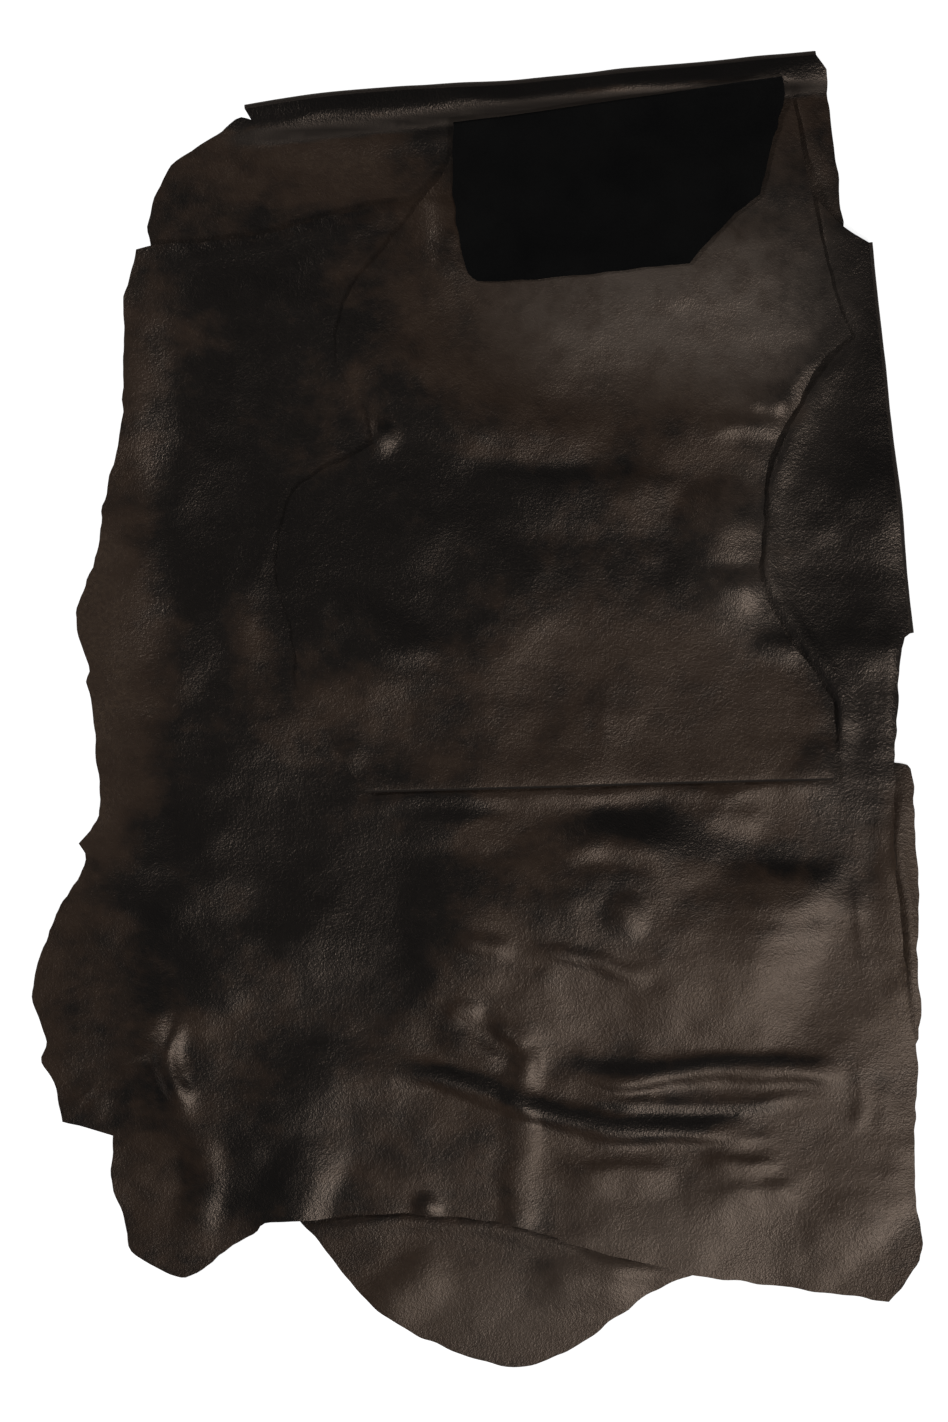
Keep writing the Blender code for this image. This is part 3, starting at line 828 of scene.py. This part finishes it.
class Nodes:
    """A material's node tree, with short ways to add nodes to it."""

    def __init__(self, name):
        self.material = bpy.data.materials.new(name)
        self.material.use_nodes = True
        self.tree = self.material.node_tree
        self.shader = self.tree.nodes["Principled BSDF"]
        self.place = self.add("ShaderNodeTexCoord").outputs["Object"]

    def add(self, kind, inputs=None, **settings):
        node = self.tree.nodes.new(kind)
        for name, value in settings.items():
            setattr(node, name, value)
        for name, value in (inputs or {}).items():
            if isinstance(value, bpy.types.NodeSocket):
                self.tree.links.new(value, node.inputs[name])
            else:
                node.inputs[name].default_value = value
        return node

    def noise(self, scale, detail=3.0, roughness=0.5, distortion=0.0, place=None):
        inputs = {"Vector": place or self.place, "Scale": scale, "Detail": detail,
                  "Roughness": roughness, "Distortion": distortion}
        return self.add("ShaderNodeTexNoise", inputs).outputs["Fac"]

    def cells(self, scale):
        inputs = {"Vector": self.place, "Scale": scale}
        return self.add("ShaderNodeTexVoronoi", inputs).outputs["Distance"]

    def attribute(self, name):
        return self.add("ShaderNodeAttribute", attribute_name=name).outputs["Fac"]

    def math(self, operation, first, second):
        return self.add("ShaderNodeMath", {0: first, 1: second}, operation=operation).outputs[0]

    def range(self, value, low, high, to_low=0.0, to_high=1.0):
        inputs = {"Value": value, "From Min": low, "From Max": high,
                  "To Min": to_low, "To Max": to_high}
        return self.add("ShaderNodeMapRange", inputs).outputs["Result"]

    def mix(self, share, first, second):
        colours = {0: share, 6: first, 7: second}       # sockets by number: their names repeat
        return self.add("ShaderNodeMix", colours, data_type="RGBA").outputs[2]

    def raised(self, height, distance, below=None):
        inputs = {"Height": height, "Distance": distance}
        if below:
            inputs["Normal"] = below
        return self.add("ShaderNodeBump", inputs).outputs["Normal"]

    def link(self, value, socket):
        self.tree.links.new(value, self.shader.inputs[socket])

    def set(self, **values):
        """Constants on the shader's own sockets, underscores standing for spaces."""
        for name, value in values.items():
            self.shader.inputs[name.replace("_", " ")].default_value = value


def grain_leather():
    """Outer side: black dye over brown, with painted shade and painted sheen kept on the mesh, fine pebble
    grain, a low warm sheen.
    """
    nodes = Nodes("leather_grain")
    black = (0.0074, 0.0079, 0.0086, 1)
    brown = (0.038, 0.0228, 0.0156, 1)
    tan = (0.075, 0.048, 0.031, 1)
    # the colour of the paler patches: painted sheen on the neck, paler leather lower down
    pale_sheen_colour = (0.125, 0.100, 0.083, 1)
    tone_and_shade, matt_and_shade, pale_sheen = (nodes.attribute(name) for name in ("tone_and_shade", "matt_and_shade", "pale_sheen"))
    stretch = {0: nodes.place, 1: (0.6, 1.0, 1.0)}
    stretched = nodes.add("ShaderNodeVectorMath", stretch, operation="MULTIPLY").outputs[0]
    patches = nodes.noise(12.0, detail=5.0, roughness=0.62, distortion=0.4, place=stretched)
    mottle = nodes.noise(46.0, detail=5.0, roughness=0.65)
    specks = nodes.noise(330.0, detail=2.0)

    # How brown: the tone kept on the mesh, which holds painted shade along folds and wrinkles and partly
    # painted sheen in some patches, with patches and mottling; black on the fold rounds and along the roll's
    # groove, which is painted shade
    brownness_and_shade = nodes.math("ADD", nodes.range(patches, 0.3, 0.7, -0.45, 0.45), tone_and_shade)
    brownness_and_shade = nodes.math("ADD", brownness_and_shade, nodes.range(mottle, 0.3, 0.7, -0.22, 0.22))
    brownness_and_shade = nodes.math("SUBTRACT", brownness_and_shade, nodes.math("MULTIPLY", matt_and_shade, 1.5))
    colour = nodes.mix(nodes.range(brownness_and_shade, 0.3, 0.75), black, brown)
    rubbed = nodes.range(brownness_and_shade, 0.7, 1.5)
    rubbed = nodes.math("MULTIPLY", rubbed, nodes.range(specks, 0.35, 0.65))
    colour = nodes.mix(rubbed, colour, tan)
    # paler patches, partly painted sheen
    pale_sheen = nodes.math("MULTIPLY", pale_sheen, nodes.range(mottle, 0.35, 0.6, 0.45, 1.0))
    nodes.link(nodes.mix(pale_sheen, colour, pale_sheen_colour), "Base Color")

    # Black dye is shinier than brown, and the painted-shade fold rounds and groove are matt
    polish = nodes.range(brownness_and_shade, 0.0, 1.2, 0.31, 0.43)
    nodes.link(nodes.math("ADD", polish, nodes.math("MULTIPLY", matt_and_shade, 0.6)), "Roughness")
    nodes.set(Specular_IOR_Level=1.0, Specular_Tint=(1.0, 0.78, 0.63, 1))

    # Fine creasing under a pebble grain of two sizes; heights in metres
    creasing = nodes.noise(130.0, detail=6.0, roughness=0.65, distortion=0.5)
    pebbles = nodes.math("ADD", nodes.cells(900.0), nodes.math("MULTIPLY", nodes.cells(420.0), 0.8))
    creased = nodes.raised(creasing, 0.28 * MM)
    nodes.link(nodes.raised(pebbles, 0.14 * MM, creased), "Normal")
    return nodes.material


def flesh_leather():
    """Inner side: near-black suede with a short nap."""
    nodes = Nodes("leather_flesh")
    dark = (0.0056, 0.0056, 0.0060, 1)
    light = (0.0132, 0.0129, 0.0125, 1)
    nap = nodes.noise(900.0, roughness=0.7)
    strokes = nodes.noise(26.0)
    halves = [nodes.range(part, 0.3, 0.7, 0.0, 0.5) for part in (strokes, nap)]
    nodes.link(nodes.mix(nodes.math("ADD", *halves), dark, light), "Base Color")
    nodes.link(nodes.raised(nap, 0.3 * MM), "Normal")
    nodes.set(Roughness=1.0, Specular_IOR_Level=0.08)
    return nodes.material


def cut_edge():
    """The raw cut: dull dark fibre."""
    nodes = Nodes("leather_edge")
    dark = (0.0095, 0.0086, 0.0080, 1)
    light = (0.028, 0.022, 0.0175, 1)
    nodes.link(nodes.mix(nodes.noise(1100.0, detail=2.0), dark, light), "Base Color")
    nodes.set(Roughness=0.9, Specular_IOR_Level=0.2)
    return nodes.material


def patched(places, patches, start):
    """Soft patches added up over the places."""
    total = np.full(len(places), start)
    for place, reach, amount in patches:
        offset = (places - np.array(place) * CM) / (np.array(reach) * CM)
        total += amount * bump(PATCH_FALL * np.linalg.norm(offset, axis=1))
    return total


def add_tones_and_shade(data):
    """Keep on each point of the mesh how brown the leather is, with painted shade in its tone; how pale,
    which is partly painted sheen; and how matt and dark, which is painted shade.
    """
    places = np.array([vert.co.xy[:] for vert in data.vertices])
    tone_and_shade = patched(places, TONES_AND_SHEEN, BASE_TONE)
    # painted shade along the roll, the wrinkle valleys and under the neck's edge, taken off the tone
    for path, reach, amount in SHADE_STREAKS:
        tone_and_shade += amount * crease_rise(places, path, reach * CM, reach * CM)
    for name, amounts in (("tone_and_shade", tone_and_shade), ("pale_sheen", patched(places, PALE_SHEEN_PATCHES, 0.0))):
        layer = data.attributes.new(name, "FLOAT", "POINT")
        layer.data.foreach_set("value", amounts.astype(np.float32))
    layer = data.attributes["matt_and_shade"]
    matt_and_shade = np.empty(len(places), dtype=np.float32)
    layer.data.foreach_get("value", matt_and_shade)
    # painted shade and a matt finish along the foot of the roll
    for path, reach in SHADED_GROOVES:
        matt_and_shade = np.maximum(matt_and_shade, crease_rise(places, path, reach * CM, reach * CM))
    layer.data.foreach_set("value", matt_and_shade.astype(np.float32))


def make_hide():
    """The hide with its thickness and its three surfaces: grain, flesh and cut edge."""
    mesh = folded_sheet()
    data = bpy.data.meshes.new("folded_hide")
    mesh.to_mesh(data)
    mesh.free()
    add_tones_and_shade(data)
    for material in (grain_leather(), flesh_leather(), cut_edge()):
        data.materials.append(material)
    data.shade_smooth()
    hide = placed("folded_hide", data)
    skin = hide.modifiers.new("thickness", "SOLIDIFY")
    skin.thickness = THICKNESS
    skin.offset = 0.0
    skin.material_offset = 1        # the inner side takes the second material
    skin.material_offset_rim = 2    # and the edge the third
    finish_modifiers(hide)
    hide.data.set_sharp_from_angle(angle=SHARP_ANGLE)
    return hide


def shift_to_frame(hide):
    """Move the hide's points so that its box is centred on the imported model's; returns the shift."""
    places = np.empty(len(hide.data.vertices) * 3, dtype=np.float32)
    hide.data.vertices.foreach_get("co", places)
    places = places.reshape(-1, 3)
    shift = (cad_low + cad_high - places.min(axis=0) - places.max(axis=0)) / 2
    shift[2] = cad_low[2] - places[:, 2].min()
    hide.data.vertices.foreach_set("co", (places + shift.astype(np.float32)).ravel())
    hide.data.update()
    return Vector(shift)


FLOOR_SIZE = 4.0            # from the middle to each edge
FLOOR_GAP = 0.1 * MM
FLOOR_GLOW = 0.8            # so that it comes out white under weak lamps


def make_floor():
    """A plain white floor just under the hide."""
    mesh = bmesh.new()
    bmesh.ops.create_grid(mesh, x_segments=1, y_segments=1, size=FLOOR_SIZE)
    data = bpy.data.meshes.new("floor")
    mesh.to_mesh(data)
    mesh.free()
    nodes = Nodes("floor_white")
    nodes.set(Base_Color=(0.95, 0.95, 0.95, 1), Roughness=1.0, Specular_IOR_Level=0.0,
              Emission_Color=(1, 1, 1, 1), Emission_Strength=FLOOR_GLOW)
    data.materials.append(nodes.material)
    floor = placed("floor", data)
    floor.location.z = cad_low[2] - FLOOR_GAP
    floor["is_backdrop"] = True


# Lamps: name, place, what it points at, the side of its square (m), power, and if it casts shadows
SHEEN = ((2.35, -2.9, 4.3), (0.1, -0.1, 0), 1.4, 47)
LAMPS = [
    ("sheen_lamp", *SHEEN, True),
    ("sheen_fill_lamp", *SHEEN, False),
    ("left_lamp", (-2.7, 1.3, 2.0), (0, 0, 0), 0.35, 28, True),
]
SKY = 0.02


def light_scene():
    """Two lamps for the sheen at the lower right, one without shadows, one from the left, a sky."""
    for name, place, target, side, power, shadow in LAMPS:
        data = bpy.data.lights.new(name, "AREA")
        data.shape = "RECTANGLE"
        data.size = data.size_y = side
        data.energy = power
        data.use_shadow = shadow
        lamp = placed(name, data)
        lamp.location = place
        view = Vector(target) - lamp.location
        lamp.rotation_euler = view.to_track_quat("-Z", "Y").to_euler()
    world = bpy.data.worlds.new("sky")
    world.use_nodes = True
    sky = world.node_tree.nodes["Background"].inputs
    sky["Color"].default_value = (1, 1, 1, 1)
    sky["Strength"].default_value = SKY
    bpy.context.scene.world = world
    bpy.context.scene.view_settings.view_transform = "Standard"


CAMERA_DISTANCE = 2.0
CAMERA_TILT = math.radians(6.3)
CAMERA_LENS = 66.4
LOOKED_AT = Vector((-0.4, 1.0, 0)) * CM


def make_camera(shift):
    """Looking nearly straight down, from a little towards the top of the pile."""
    data = bpy.data.cameras.new("camera")
    data.lens = CAMERA_LENS
    camera = placed("camera", data)
    target = LOOKED_AT + Vector((shift.x, shift.y, 0))
    away = Vector((0, math.sin(CAMERA_TILT), math.cos(CAMERA_TILT)))
    camera.location = target + CAMERA_DISTANCE * away
    camera.rotation_euler = (-CAMERA_TILT, 0, 0)
    bpy.context.scene.camera = camera


hide = make_hide()
shift = shift_to_frame(hide)
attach(hide, "root")
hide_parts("hide")
make_floor()
light_scene()
make_camera(shift)
